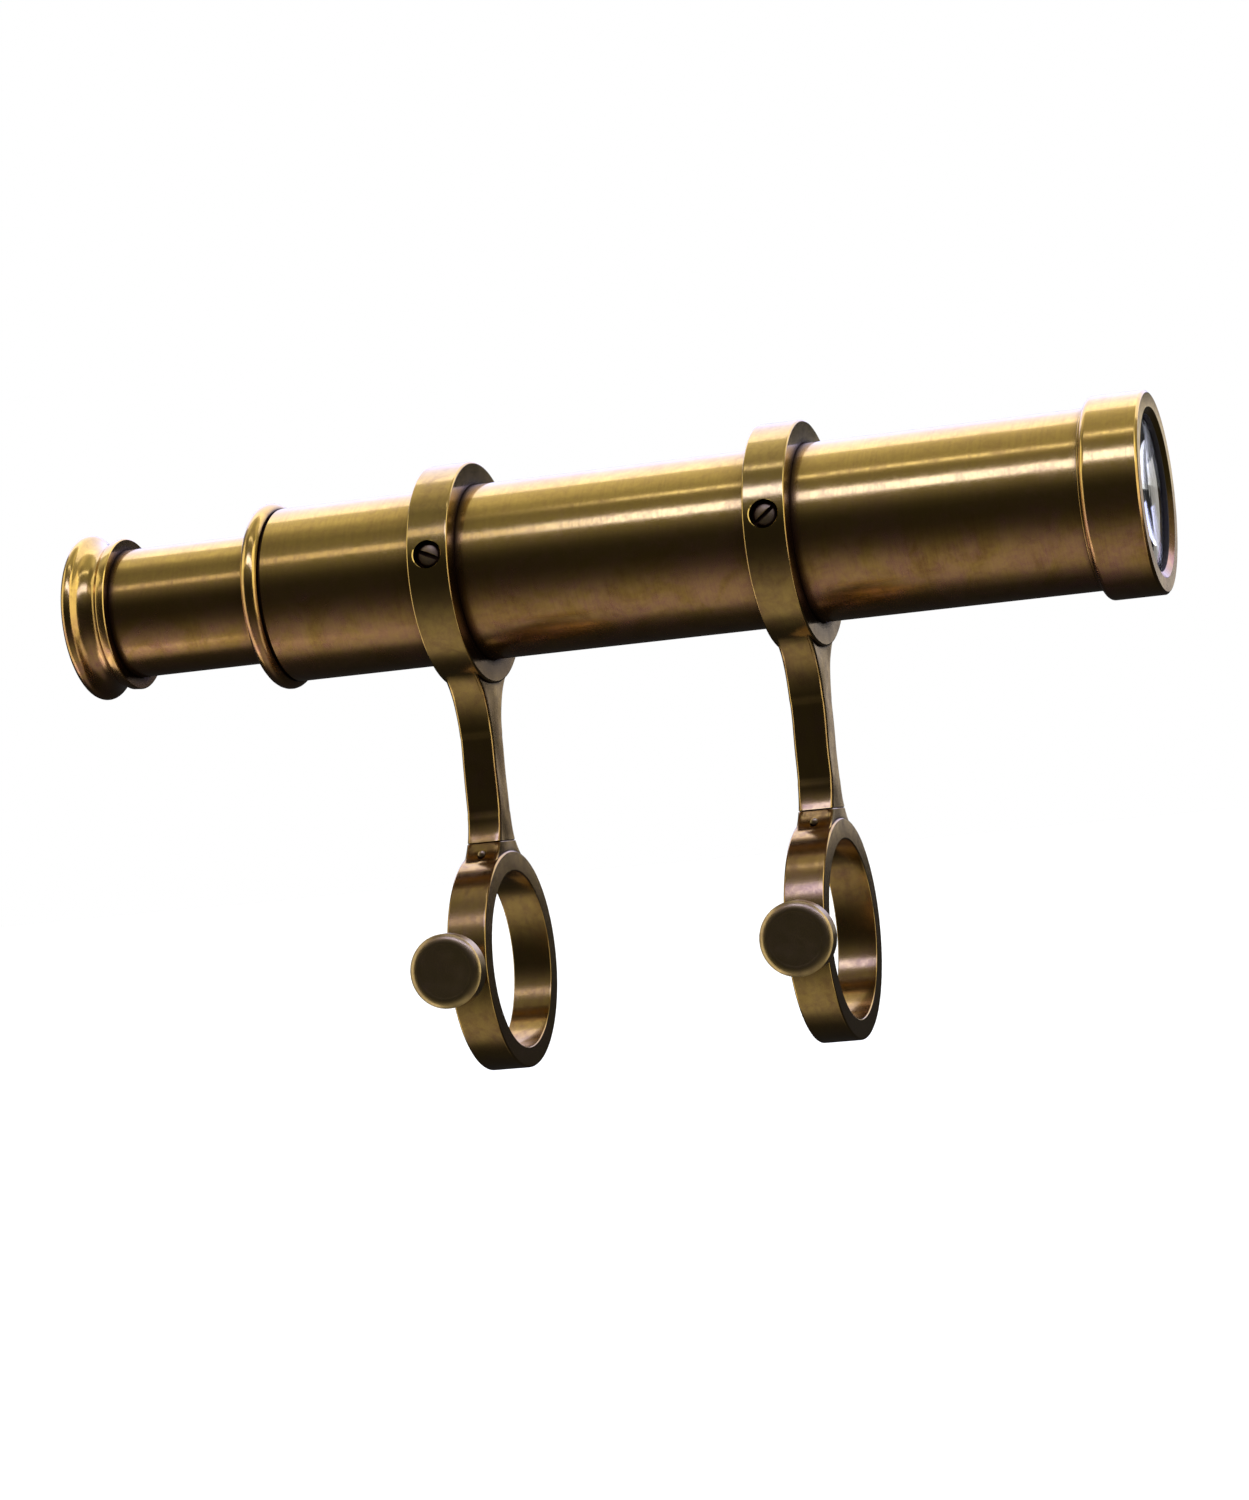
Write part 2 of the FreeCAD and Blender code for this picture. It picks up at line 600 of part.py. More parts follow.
# ---- the whole scope ----------------------------------------------------------------------------
def build():
    front = RING_SPACING
    pieces = {
        "main_tube": main_tube(),
        "objective_cell": objective_cell(),
        "front_glare_stop": glare_stop(*GLARE_STOPS["front"]),
        "rear_glare_stop": glare_stop(*GLARE_STOPS["rear"]),
        "guide_collar": guide_collar(),
        "guide_liner": guide_liner(),
        "draw_tube": draw_tube(),
        "stop_ring": stop_ring(),
        "eyecup": eyecup(),
        "eyepiece_barrel": eyepiece_barrel(),
        "rear_bracket": bracket(0.0),
        "front_bracket": bracket(front),
        "rear_clamp_ring": clamp_ring(0.0),
        "front_clamp_ring": clamp_ring(front),
        "arm_pins": Part.makeCompound([arm_pin(0.0), arm_pin(front)]),
        "ring_screws": Part.makeCompound([
            ring_screw(x, turn) for x, turn in zip((0.0, front), SCREW_SLOT_TURNS)
        ]),
        "rear_thumb_screw": thumb_screw(0.0, REAR_THUMB_FACE_Y),
        "front_thumb_screw": thumb_screw(front, FRONT_THUMB_FACE_Y),
        "rear_pressure_pad": pressure_pad(0.0),
        "front_pressure_pad": pressure_pad(front),
    }
    pieces.update(objective_stack())
    pieces.update(eyepiece_pieces())
    pieces.update(erector_pieces())
    return pieces


os.makedirs("parts", exist_ok=True)
for name, shape in build().items():
    solids = shape.Solids
    print(f"{name:26s} solids {len(solids)} volume {shape.Volume:9.1f} valid {shape.isValid()}")
    piece = solids[0] if len(solids) == 1 else Part.makeCompound(solids)
    piece.exportStep(f"parts/{name}.step")
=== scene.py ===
"""Looks of the finder scope: aged brass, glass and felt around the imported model. Metres, row frame."""
import json
import math

import bmesh
import bpy
from mathutils import Matrix, Vector, noise


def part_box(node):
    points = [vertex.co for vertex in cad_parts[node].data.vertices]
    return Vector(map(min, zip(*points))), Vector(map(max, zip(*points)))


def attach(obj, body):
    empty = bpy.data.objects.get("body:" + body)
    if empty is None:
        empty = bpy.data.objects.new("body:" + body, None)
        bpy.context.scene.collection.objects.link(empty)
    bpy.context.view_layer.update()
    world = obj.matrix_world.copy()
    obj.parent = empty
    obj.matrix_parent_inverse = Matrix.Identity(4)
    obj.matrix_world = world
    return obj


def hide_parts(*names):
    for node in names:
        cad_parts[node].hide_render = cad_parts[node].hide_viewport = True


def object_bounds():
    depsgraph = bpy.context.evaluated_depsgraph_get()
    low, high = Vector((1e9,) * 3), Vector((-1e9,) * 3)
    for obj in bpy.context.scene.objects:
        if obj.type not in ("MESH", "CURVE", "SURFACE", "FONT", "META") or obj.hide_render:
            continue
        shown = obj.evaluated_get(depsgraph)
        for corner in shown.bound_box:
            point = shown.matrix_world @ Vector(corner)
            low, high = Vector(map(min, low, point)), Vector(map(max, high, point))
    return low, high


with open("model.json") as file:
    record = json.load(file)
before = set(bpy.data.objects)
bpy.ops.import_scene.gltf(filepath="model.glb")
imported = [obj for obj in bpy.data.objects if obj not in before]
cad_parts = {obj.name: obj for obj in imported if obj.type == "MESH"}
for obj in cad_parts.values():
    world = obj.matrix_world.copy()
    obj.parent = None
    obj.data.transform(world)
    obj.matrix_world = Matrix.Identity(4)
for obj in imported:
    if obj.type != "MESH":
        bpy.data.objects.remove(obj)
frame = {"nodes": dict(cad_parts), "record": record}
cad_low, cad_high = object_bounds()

MM = 0.001


# ---- places and sizes, read from the frame ------------------------------------------------------
def middle(node):
    low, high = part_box(node)
    return (low + high) / 2


tube_low, tube_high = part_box("main_tube")
AXIS_Z = middle("main_tube").z
TUBE_R = (tube_high.z - tube_low.z) / 2
TUBE_WALL = 1.2 * MM
collar_low, collar_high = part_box("guide_collar")
cell_low, cell_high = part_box("objective_cell")
CELL_R = (cell_high.z - cell_low.z) / 2
draw_low, draw_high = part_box("draw_tube")
DRAW_R = (draw_high.z - draw_low.z) / 2
cup_low, cup_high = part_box("eyecup")

SIDES = ("rear", "front")
RING_X = {side: middle(side + "_bracket").x for side in SIDES}
ring_low, ring_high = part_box("rear_bracket")
UPPER_RING_R = ring_high.z - AXIS_Z
UPPER_RING_HALF = (ring_high.x - ring_low.x) / 2
clamp_low, clamp_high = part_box("rear_clamp_ring")
CLAMP_RING_R = -clamp_low.z
CLAMP_RING_HALF = (clamp_high.x - clamp_low.x) / 2
JOINT_Z = clamp_high.z
PIN_Z = middle("arm_pins").z
PIN_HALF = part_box("arm_pins")[1].y
CLAMP_BORE_R = 17.0 * MM

# Sizes that no box gives, in millimetres.
OPENING_R = 14.6             # objective cell
LENS_BORE_R = 14.95
LENS_SETBACK = 1.8           # from the rim to the front lens's edge
CELL_ROLL = 1.8              # length of the cell's rolled back edge
CELL_BEVEL = 0.5
CROWN_FRONT_SAG = 1.2
CROWN_REAR_SAG = 1.9
DRAW_WALL = 0.9
RUNNING_GAP = 0.05           # between the draw tube and the guide collar
LINER_REAR_X, LINER_FRONT_X, LINER_R = -32.0, -22.0, 13.6
CUP_RIM_R, CUP_WAIST_R, CUP_SHOULDER_R = 16.4, 14.15, 15.0
CUP_FLOOR_X, CUP_SEAT_X = -74.4, -73.4
CUP_OPENING_R, CUP_SEAT_R = 5.0, 10.8

SCREW_LIFT = math.radians(9.0)       # ring screws point this far above the horizontal
SCREW_SEAT = 19.0            # floor of the counterbore, from the scope's axis
SCREW_TOP = 20.6             # top of the screw head
SCREW_HEAD_LENGTH, SCREW_HEAD_R, SCREW_SHANK_R = 1.6, 2.3, 1.45
SCREW_HOLE_R, COUNTERBORE_R = 1.5, 2.75
SLOT_TURN = {"rear": 65.0, "front": 128.0}     # degrees
PIN_R, PIN_HOLE_R = 0.79, 0.8
THUMB_HEAD_LENGTH, THUMB_NECK_LENGTH, THUMB_NECK_R = 4.0, 1.6, 3.4
THREAD_R, THREAD_HOLE_R, THREAD_PITCH = 2.45, 2.5, 0.8
STEM_HOLE_R, STEM_HOLE_DEPTH = 1.05, 2.0     # for the pad's stem, in the thumb screw's tip


# ---- camera -------------------------------------------------------------------------------------
CAMERA_PLACE = Vector((0.2676, -0.7735, 0.0249))
CAMERA_TARGET = Vector((0.0286, 0.0, 0.0380))
CAMERA_ROLL = 5.7            # degrees; lifts the objective end in the picture
CAMERA_LENS = 101.5


def make_camera():
    data = bpy.data.cameras.new("camera")
    data.lens = CAMERA_LENS
    data.sensor_width = 36.0
    data.dof.use_dof = False
    data.clip_start = 0.01
    data.clip_end = 30.0
    camera = bpy.data.objects.new("camera", data)
    bpy.context.scene.collection.objects.link(camera)
    turn = (CAMERA_TARGET - CAMERA_PLACE).to_track_quat("-Z", "Y").to_matrix().to_4x4()
    roll = Matrix.Rotation(math.radians(-CAMERA_ROLL), 4, "Z")
    camera.matrix_world = Matrix.Translation(CAMERA_PLACE) @ turn @ roll
    bpy.context.scene.camera = camera


# ---- node helpers -------------------------------------------------------------------------------
class Graph:
    """Short way to add and join shader nodes in one material."""

    def __init__(self, name):
        self.material = bpy.data.materials.new(name)
        self.material.use_nodes = True
        self.nodes = self.material.node_tree.nodes
        self.links = self.material.node_tree.links
        self.shader = self.nodes["Principled BSDF"]

    def add(self, kind, settings=None, **inputs):
        node = self.nodes.new(kind)
        for key, value in (settings or {}).items():
            setattr(node, key, value)
        for key, value in inputs.items():
            self.put(node.inputs[key.replace("_", " ")], value)
        return node

    def put(self, socket, value):
        if isinstance(value, bpy.types.NodeSocket):
            self.links.new(value, socket)
        else:
            socket.default_value = value

    def math(self, operation, a, b=0.0, clamp=False):
        node = self.nodes.new("ShaderNodeMath")
        node.operation = operation
        node.use_clamp = clamp
        self.put(node.inputs[0], a)
        self.put(node.inputs[1], b)
        return node.outputs[0]

    def noise(self, place, scale, detail=4.0, roughness=0.55, distortion=0.0):
        node = self.add(
            "ShaderNodeTexNoise",
            Vector=place, Scale=scale, Detail=detail, Roughness=roughness, Distortion=distortion,
        )
        return node.outputs["Fac"]

    def stretch(self, place, factors, shift=(0, 0, 0)):
        node = self.add("ShaderNodeMapping", Vector=place, Scale=factors, Location=shift)
        return node.outputs["Vector"]

    def span(self, value, low, high, to_low=0.0, to_high=1.0, smooth=True):
        node = self.nodes.new("ShaderNodeMapRange")
        node.interpolation_type = "SMOOTHSTEP" if smooth else "LINEAR"
        for key, number in zip(("Value", "From Min", "From Max", "To Min", "To Max"),
                               (value, low, high, to_low, to_high)):
            self.put(node.inputs[key], number)
        return node.outputs["Result"]

    def mix(self, factor, a, b):
        node = self.nodes.new("ShaderNodeMix")
        node.data_type = "RGBA"
        node.clamp_factor = True
        self.put(node.inputs[0], factor)
        self.put(node.inputs[6], a)
        self.put(node.inputs[7], b)
        return node.outputs[2]

    def object_place(self):
        return self.nodes.new("ShaderNodeTexCoord").outputs["Object"]

    def bump(self, height, strength, distance):
        node = self.add("ShaderNodeBump", Height=height, Strength=strength, Distance=distance)
        self.links.new(node.outputs["Normal"], self.shader.inputs["Normal"])
        return node


# ---- materials ----------------------------------------------------------------------------------
# Dark brown for wide hollows and end faces: partly grime, mostly painted shade.
GRIME_AND_SHADE_COLOUR = (0.075, 0.030, 0.014, 1)
# Dark red-brown for tight corners: partly dirt, partly painted contact shade.
DIRT_AND_SHADE_COLOUR = (0.026, 0.008, 0.004, 1)


def aged_brass(name, gold, brown, copper, patina, underside_shade, roughness, seed, lines, lacquer):
    """Polished brass under a thin brown patina that has worn off the edges, with corners and end faces
    darkened by grime and painted shade.

    Patina says how much of the gold it covers everywhere, and the underside amount how much more it covers
    below the scope's axis, where the darker, coppery tone is partly patina and partly painted shade.
    Lines is the scale of the turning or filing marks along X, Y and Z.
    """
    g = Graph(name)
    at = g.object_place()
    place = g.stretch(at, (1, 1, 1), (seed * 0.37, seed * 0.11, seed * 0.23))
    cloud = g.noise(place, 70.0, 5.0, 0.6, 0.4)
    mottle = g.noise(place, 420.0, 8.0, 0.7, 0.4)
    speck = g.noise(place, 1500.0, 4.0, 0.65)
    line = g.noise(g.stretch(place, lines), 1.0, 3.0, 0.6)

    split = g.add("ShaderNodeSeparateXYZ", Vector=at)
    # Mask below the axis: more patina and a coppery tone there, partly patina and partly painted shade.
    below_axis_shade = g.span(split.outputs["Z"], AXIS_Z + 0.38 * TUBE_R, AXIS_Z - 0.30 * TUBE_R)

    # Darkening in tight corners, partly dirt and partly painted contact shade, and edges rubbed bare where
    # the rounded normal leaves the true one.
    hollow = g.add("ShaderNodeAmbientOcclusion", {"samples": 8}, Distance=2.2 * MM)
    dirt_and_shade = g.span(hollow.outputs["AO"], 0.93, 0.5)
    soft = g.add("ShaderNodeBevel", {"samples": 4}, Radius=0.4 * MM)
    true = g.nodes.new("ShaderNodeNewGeometry")
    along = g.add("ShaderNodeVectorMath", {"operation": "DOT_PRODUCT"})
    g.put(along.inputs[0], soft.outputs[0])
    g.put(along.inputs[1], true.outputs["True Normal"])
    rubbed = g.span(along.outputs["Value"], 0.99, 0.86)
    rubbed = g.math("MULTIPLY", rubbed, g.math("SUBTRACT", 1.0, dirt_and_shade))
    rubbed = g.math("MULTIPLY", rubbed, g.span(mottle, 0.3, 0.55, 0.35, 1.0))

    # Grime and painted shade in wider hollows, and most of all painted shade on end faces that stand beside a
    # tube, where they sit in shadow.
    shade = g.add("ShaderNodeAmbientOcclusion", {"samples": 6}, Distance=7.0 * MM)
    grime_and_shade = g.math("MULTIPLY", g.span(shade.outputs["AO"], 0.9, 0.5), 0.5)
    facing = g.add("ShaderNodeSeparateXYZ", Vector=true.outputs["True Normal"])
    # End faces turned along X get painted shade, darkest next to the tube.
    end_face = g.span(g.math("ABSOLUTE", facing.outputs["X"]), 0.90, 0.98)
    end_face_grime_and_shade = g.math("MULTIPLY", end_face, g.span(shade.outputs["AO"], 0.98, 0.74))
    grime_and_shade = g.math("MAXIMUM", grime_and_shade, g.math("MULTIPLY", end_face_grime_and_shade, 0.93))

    # How far the patina covers the gold.
    amount = g.math("MULTIPLY", g.span(cloud, 0.35, 0.7), 0.22)
    amount = g.math("ADD", amount, g.math("MULTIPLY", g.span(mottle, 0.38, 0.68), 0.24))
    amount = g.math("ADD", amount, g.math("MULTIPLY", g.span(line, 0.4, 0.7), 0.12))
    # Painted shade below the axis, on top of the patina.
    amount = g.math("ADD", amount, g.math("MULTIPLY", below_axis_shade, underside_shade))
    amount = g.math("ADD", amount, patina)
    amount = g.math("SUBTRACT", amount, g.math("MULTIPLY", rubbed, 0.6), clamp=True)

    # Brown patina that turns coppery below the axis; the coppery tone there is partly patina and partly
    # painted shade and reflected warm light.
    warm = g.span(g.noise(place, 110.0, 5.0, 0.65, 0.9), 0.35, 0.62)
    warm = g.math("MULTIPLY", warm, g.math("ADD", g.math("MULTIPLY", below_axis_shade, 0.8), 0.12))
    dull = g.mix(warm, brown, copper)
    colour = g.mix(amount, gold, dull)
    # Painted shade, with some grime, darkens end faces and wide hollows.
    colour = g.mix(grime_and_shade, colour, GRIME_AND_SHADE_COLOUR)
    # Painted contact shade, with some dirt, darkens the colour in tight corners.
    colour = g.mix(g.math("MULTIPLY", dirt_and_shade, 0.92), colour, DIRT_AND_SHADE_COLOUR)
    g.put(g.shader.inputs["Base Color"], colour)
    g.shader.inputs["Metallic"].default_value = 1.0
    clear_of_grime_and_shade = g.math("SUBTRACT", 1.0, g.math("MAXIMUM", dirt_and_shade, grime_and_shade))
    g.put(g.shader.inputs["Coat Weight"], g.math("MULTIPLY", clear_of_grime_and_shade, lacquer))
    g.shader.inputs["Coat Roughness"].default_value = 0.14

    rough = g.math("ADD", g.math("MULTIPLY", amount, 0.15), roughness)
    rough = g.math("ADD", rough, g.math("MULTIPLY", g.math("SUBTRACT", mottle, 0.5), 0.14))
    rough = g.math("ADD", rough, g.math("MULTIPLY", dirt_and_shade, 0.3), clamp=True)
    g.put(g.shader.inputs["Roughness"], rough)

    wave = g.math("MULTIPLY", g.noise(place, 85.0, 2.0, 0.5), 1.6)
    height = g.math("ADD", wave, g.math("MULTIPLY", mottle, 0.22))
    height = g.math("ADD", height, g.math("MULTIPLY", speck, 0.05))
    height = g.math("ADD", height, g.math("MULTIPLY", line, 0.10))
    g.bump(height, 0.6, 0.05 * MM)
    return g.material


def glass_material():
    g = Graph("optical_glass")
    g.shader.inputs["Base Color"].default_value = (0.97, 0.985, 0.975, 1)
    g.shader.inputs["IOR"].default_value = 1.52
    g.shader.inputs["Transmission Weight"].default_value = 1.0
    film = g.noise(g.object_place(), 260.0, 5.0, 0.6)
    g.put(g.shader.inputs["Roughness"], g.span(film, 0.35, 0.8, 0.015, 0.09))
    return g.material


def black_material():
    g = Graph("blackened_brass")
    place = g.object_place()
    fleck = g.noise(place, 900.0, 5.0, 0.6)
    g.put(g.shader.inputs["Base Color"], g.mix(fleck, (0.010, 0.009, 0.008, 1), (0.03, 0.025, 0.02, 1)))
    g.put(g.shader.inputs["Roughness"], g.span(fleck, 0.3, 0.7, 0.5, 0.75))
    g.shader.inputs["Metallic"].default_value = 0.4
    g.bump(fleck, 0.3, 0.03 * MM)
    return g.material


def felt_material():
    g = Graph("liner_felt")
    fibre = g.noise(g.object_place(), 3000.0, 6.0, 0.7)
    g.put(g.shader.inputs["Base Color"], g.mix(fibre, (0.03, 0.012, 0.01, 1), (0.12, 0.06, 0.05, 1)))
    g.shader.inputs["Roughness"].default_value = 0.95
    g.shader.inputs["Sheen Weight"].default_value = 0.4
    g.bump(fibre, 0.8, 0.1 * MM)
    return g.material


MATERIALS = {
    "barrel_brass": aged_brass(
        "barrel_brass", (0.68, 0.445, 0.085, 1), (0.31, 0.145, 0.035, 1), (0.42, 0.185, 0.115, 1),
        patina=0.0, underside_shade=0.55, roughness=0.12, seed=1, lines=(2600, 40, 40), lacquer=0.4,
    ),
    "bracket_brass": aged_brass(
        "bracket_brass", (0.63, 0.425, 0.095, 1), (0.25, 0.125, 0.040, 1), (0.29, 0.150, 0.066, 1),
        patina=0.06, underside_shade=0.36, roughness=0.10, seed=2, lines=(600, 250, 120), lacquer=0.3,
    ),
    "screw_brass": aged_brass(
        "screw_brass", (0.55, 0.39, 0.14, 1), (0.22, 0.14, 0.058, 1), (0.24, 0.14, 0.08, 1),
        patina=0.22, underside_shade=0.0, roughness=0.26, seed=3, lines=(300, 300, 300), lacquer=0.15,
    ),
    "blackened_brass": black_material(),
    "optical_glass": glass_material(),
    "liner_felt": felt_material(),
}


def paint_cad_nodes():
    slots = {row["node"]: row["material_slot"] for row in frame["record"]["subparts"]}
    for name, piece in frame["nodes"].items():
        piece.data.materials.clear()
        piece.data.materials.append(MATERIALS[slots[name]])


# ---- mesh helpers -------------------------------------------------------------------------------
AROUND = 192                 # facets round every turned piece
SHARP = math.radians(34)


def arc(start, via, end, steps=10):
    """Points after start on the circle through three points, up to end."""
    ax, ay = start
    bx, by = via
    cx, cy = end
    d = 2 * (ax * (by - cy) + bx * (cy - ay) + cx * (ay - by))
    sa, sb, sc = ax * ax + ay * ay, bx * bx + by * by, cx * cx + cy * cy
    ux = (sa * (by - cy) + sb * (cy - ay) + sc * (ay - by)) / d
    uy = (sa * (cx - bx) + sb * (ax - cx) + sc * (bx - ax)) / d
    first = math.atan2(ay - uy, ax - ux)
    turns = []
    for px, py in ((bx, by), (cx, cy)):
        turns.append((math.atan2(py - uy, px - ux) - first) % (2 * math.pi))
    sweep = turns[1] if turns[0] < turns[1] else turns[1] - 2 * math.pi
    radius = math.hypot(ax - ux, ay - uy)
    angles = [first + sweep * (i + 1) / steps for i in range(steps)]
    return [(ux + radius * math.cos(a), uy + radius * math.sin(a)) for a in angles]


def rounded(before, corner, after, radius, steps=4):
    """The corner replaced by points on a fillet."""
    corner = Vector(corner)
    to_before, to_after = Vector(before) - corner, Vector(after) - corner
    half = to_before.angle(to_after) / 2
    reach = min(radius / math.tan(half), 0.45 * to_before.length, 0.45 * to_after.length)
    start = corner + to_before.normalized() * reach
    end = corner + to_after.normalized() * reach
    bulge = reach * math.tan(half)
    centre = corner + (to_before.normalized() + to_after.normalized()).normalized() * math.hypot(reach, bulge)
    points = []
    for i in range(steps + 1):
        leg = start.lerp(end, i / steps) - centre
        points.append(tuple(centre + leg.normalized() * bulge))
    return points


def outline(*entries):
    """Profile in (x, radius) millimetres. (x, r) is a corner, (x, r, fillet) a rounded one, and
    ((x, r), (x, r)) an arc through the first point to the second."""
    plain = []
    for entry in entries:
        if isinstance(entry[0], tuple):
            plain += [(p, 0.0) for p in arc(plain[-1][0], entry[0], entry[1])]
        else:
            plain.append((entry[:2], entry[2] if len(entry) > 2 else 0.0))
    points = []
    for i, (point, fillet) in enumerate(plain):
        before, after = plain[i - 1][0], plain[(i + 1) % len(plain)][0]
        points += rounded(before, point, after, fillet) if fillet else [point]
    return [(x * MM, r * MM) for x, r in points]


def new_piece(name, mesh):
    piece = bpy.data.objects.new(name, mesh)
    bpy.context.scene.collection.objects.link(piece)
    return piece


def placed_piece(name, mesh, matrix=None):
    """Object from a closed bmesh, with its faces turned outwards and then placed by the matrix."""
    bmesh.ops.recalc_face_normals(mesh, faces=mesh.faces)
    if matrix is not None:
        mesh.transform(matrix)
    data = bpy.data.meshes.new(name)
    mesh.to_mesh(data)
    mesh.free()
    return new_piece(name, data)


def turned(name, profile, facets=AROUND, matrix=None):
    """Closed solid of revolution about the X axis, then placed by the matrix."""
    mesh = bmesh.new()
    rings = []
    for x, r in profile:
        if r < 1e-9:
            rings.append([mesh.verts.new((x, 0, 0))])
            continue
        ring = []
        for i in range(facets):
            a = 2 * math.pi * i / facets
            ring.append(mesh.verts.new((x, r * math.cos(a), r * math.sin(a))))
        rings.append(ring)
    for a, b in zip(rings, rings[1:] + rings[:1]):
        if len(a) == 1 and len(b) == 1:
            continue
        for i in range(facets):
            j = (i + 1) % facets
            corners = [a[i % len(a)], a[j % len(a)], b[j % len(b)], b[i % len(b)]]
            mesh.faces.new(list(dict.fromkeys(corners)))
    return placed_piece(name, mesh, matrix)


def on_axis(x=0.0):
    return Matrix.Translation((x, 0, AXIS_Z))


def pointing(start, direction):
    """Matrix that lays a piece made along +X from the origin at start, along direction."""
    return Matrix.Translation(start) @ Vector(direction).to_track_quat("X", "Z").to_matrix().to_4x4()


def combine(piece, *steps):
    """Boolean steps, each (operation, tool). The tools are used up."""
    for operation, tool in steps:
        modifier = piece.modifiers.new(operation, "BOOLEAN")
        modifier.operation = operation
        modifier.solver = "EXACT"
        modifier.object = tool
    bpy.context.view_layer.update()
    seen = piece.evaluated_get(bpy.context.evaluated_depsgraph_get())
    result = bpy.data.meshes.new_from_object(seen)
    piece.modifiers.clear()
    piece.data = result
    for operation, tool in steps:
        bpy.data.objects.remove(tool)
    return piece


def clean(piece):
    """Welds what a boolean left doubled and drops faces with no area."""
    mesh = bmesh.new()
    mesh.from_mesh(piece.data)
    bmesh.ops.remove_doubles(mesh, verts=mesh.verts, dist=1e-6)
    bmesh.ops.dissolve_degenerate(mesh, edges=mesh.edges, dist=1e-6)
    mesh.to_mesh(piece.data)
    mesh.free()


def finish_piece(piece, body, slot, *nodes):
    """Smooth shading up to the sharp edges, then the finish, the body and the CAD nodes it stands for."""
    mesh = bmesh.new()
    mesh.from_mesh(piece.data)
    for face in mesh.faces:
        face.smooth = True
    for edge in mesh.edges:
        edge.smooth = len(edge.link_faces) == 2 and edge.calc_face_angle(0.0) < SHARP
    mesh.to_mesh(piece.data)
    mesh.free()
    weighted = piece.modifiers.new("weighted_normals", "WEIGHTED_NORMAL")
    weighted.keep_sharp = True
    weighted.weight = 80
    piece.data.materials.clear()
    piece.data.materials.append(MATERIALS[slot])
    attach(piece, body)
    if nodes:
        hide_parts(*nodes)
    return piece


# ---- turned pieces of the barrel ----------------------------------------------------------------
def mm(value):
    return value / MM


def make_main_tube():
    rear, front, r = mm(tube_low.x), mm(tube_high.x), mm(TUBE_R)
    bore = r - mm(TUBE_WALL)
    # Extra rings of points under the brackets keep each drilled hole in a short band of faces.
    near_ring = mm(UPPER_RING_HALF) * 0.9
    stations = [mm(RING_X[side]) + d * near_ring for side in SIDES for d in (-1, 1)]
    wall = [(x, r) for x in stations]
    profile = outline((rear, bore), (rear, r, 0.15), *wall, (front, r, 0.1), (front, bore))
    tube = turned("main_tube_barrel", profile, matrix=on_axis())
    holes = [("DIFFERENCE", screw_cutter(side, SCREW_HOLE_R, 10.0, 18.0)) for side in SIDES]
    combine(tube, *holes)
    clean(tube)
    finish_piece(tube, "scope_body", "barrel_brass", "main_tube")


def make_objective_cell():
    """Collar with a rolled back edge and a bevelled rim."""
    rear, front, r = mm(cell_low.x), mm(cell_high.x), mm(CELL_R)
    end, tube_r, seat = mm(tube_high.x), mm(TUBE_R), front - LENS_SETBACK
    profile = outline(
        (rear, LENS_BORE_R),
        (rear, tube_r - 1.2, 0.2),
        (end, tube_r - 1.2),
        (end, tube_r + 0.45, 0.15),
        (end + 0.55, tube_r + 0.5),
        ((end + 0.85, r - 0.4), (end + CELL_ROLL, r)),
        (front - CELL_BEVEL, r, 0.35),
        (front, r - CELL_BEVEL, 0.35),
        (front, OPENING_R + 1.3, 0.25),
        (front - 0.9, OPENING_R, 0.25),
        (seat, OPENING_R, 0.1),
        (seat, LENS_BORE_R),
    )
    cell = turned("objective_cell_collar", profile, matrix=on_axis())
    finish_piece(cell, "scope_body", "barrel_brass", "objective_cell")
    cell.data.materials.append(MATERIALS["blackened_brass"])
    for face in cell.data.polygons:
        at = face.center
        in_bore = math.hypot(at.y, at.z - AXIS_Z) < (LENS_BORE_R + 0.02) * MM
        if in_bore and at.x < (front - 0.8) * MM:
            face.material_index = 1


def make_crown_lens():
    low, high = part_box("crown_lens")
    radius = mm((high.z - low.z) / 2)
    front, rear = mm(high.x) - CROWN_FRONT_SAG, mm(low.x) + CROWN_REAR_SAG
    half = radius / 2
    profile = outline(
        (rear - CROWN_REAR_SAG, 0.0),
        ((rear - sag_at(radius, CROWN_REAR_SAG, half), half), (rear, radius)),
        (front, radius),
        ((front + sag_at(radius, CROWN_FRONT_SAG, half), half), (front + CROWN_FRONT_SAG, 0.0)),
    )
    lens = turned("crown_lens_glass", profile, matrix=on_axis())
    finish_piece(lens, "scope_body", "optical_glass", "crown_lens")


def sag_at(radius, sag, at):
    """Height of a spherical lens face over its own edge, at a distance from the axis."""
    sphere = (radius ** 2 + sag ** 2) / (2 * sag)
    return math.sqrt(sphere ** 2 - at ** 2) - math.sqrt(sphere ** 2 - radius ** 2)


def make_guide_collar():
    """Rounded bead with a groove beside it; the spigot goes into the main tube."""
    rear, spigot_end = mm(collar_low.x), mm(collar_high.x)
    bead_r = mm((collar_high.z - collar_low.z) / 2)
    end, tube_r, bore = mm(tube_low.x), mm(TUBE_R), mm(DRAW_R) + RUNNING_GAP
    profile = outline(
        (rear, bore, 0.3),
        (rear, bead_r - 1.9, 0.2),
        ((rear + 1.7, bead_r - 0.01), (end - 0.5, bead_r - 1.2)),
        (end - 0.5, tube_r - 0.6, 0.1),
        (end, tube_r - 0.6),
        (end, tube_r - 1.2),
        (spigot_end, tube_r - 1.2, 0.2),
        (spigot_end, bore, 0.2),
        (LINER_FRONT_X, bore),
        (LINER_FRONT_X, LINER_R),
        (LINER_REAR_X, LINER_R),
        (LINER_REAR_X, bore),
    )
    collar = turned("guide_collar_bead", profile, matrix=on_axis())
    finish_piece(collar, "scope_body", "barrel_brass", "guide_collar")


def make_draw_tube():
    rear, front, r = mm(draw_low.x), mm(draw_high.x), mm(DRAW_R)
    bore = r - DRAW_WALL
    profile = outline((rear, bore), (rear, r), (front, r, 0.1), (front, bore))
    tube = turned("draw_tube_sleeve", profile, matrix=on_axis())
    finish_piece(tube, "draw_body", "barrel_brass", "draw_tube")


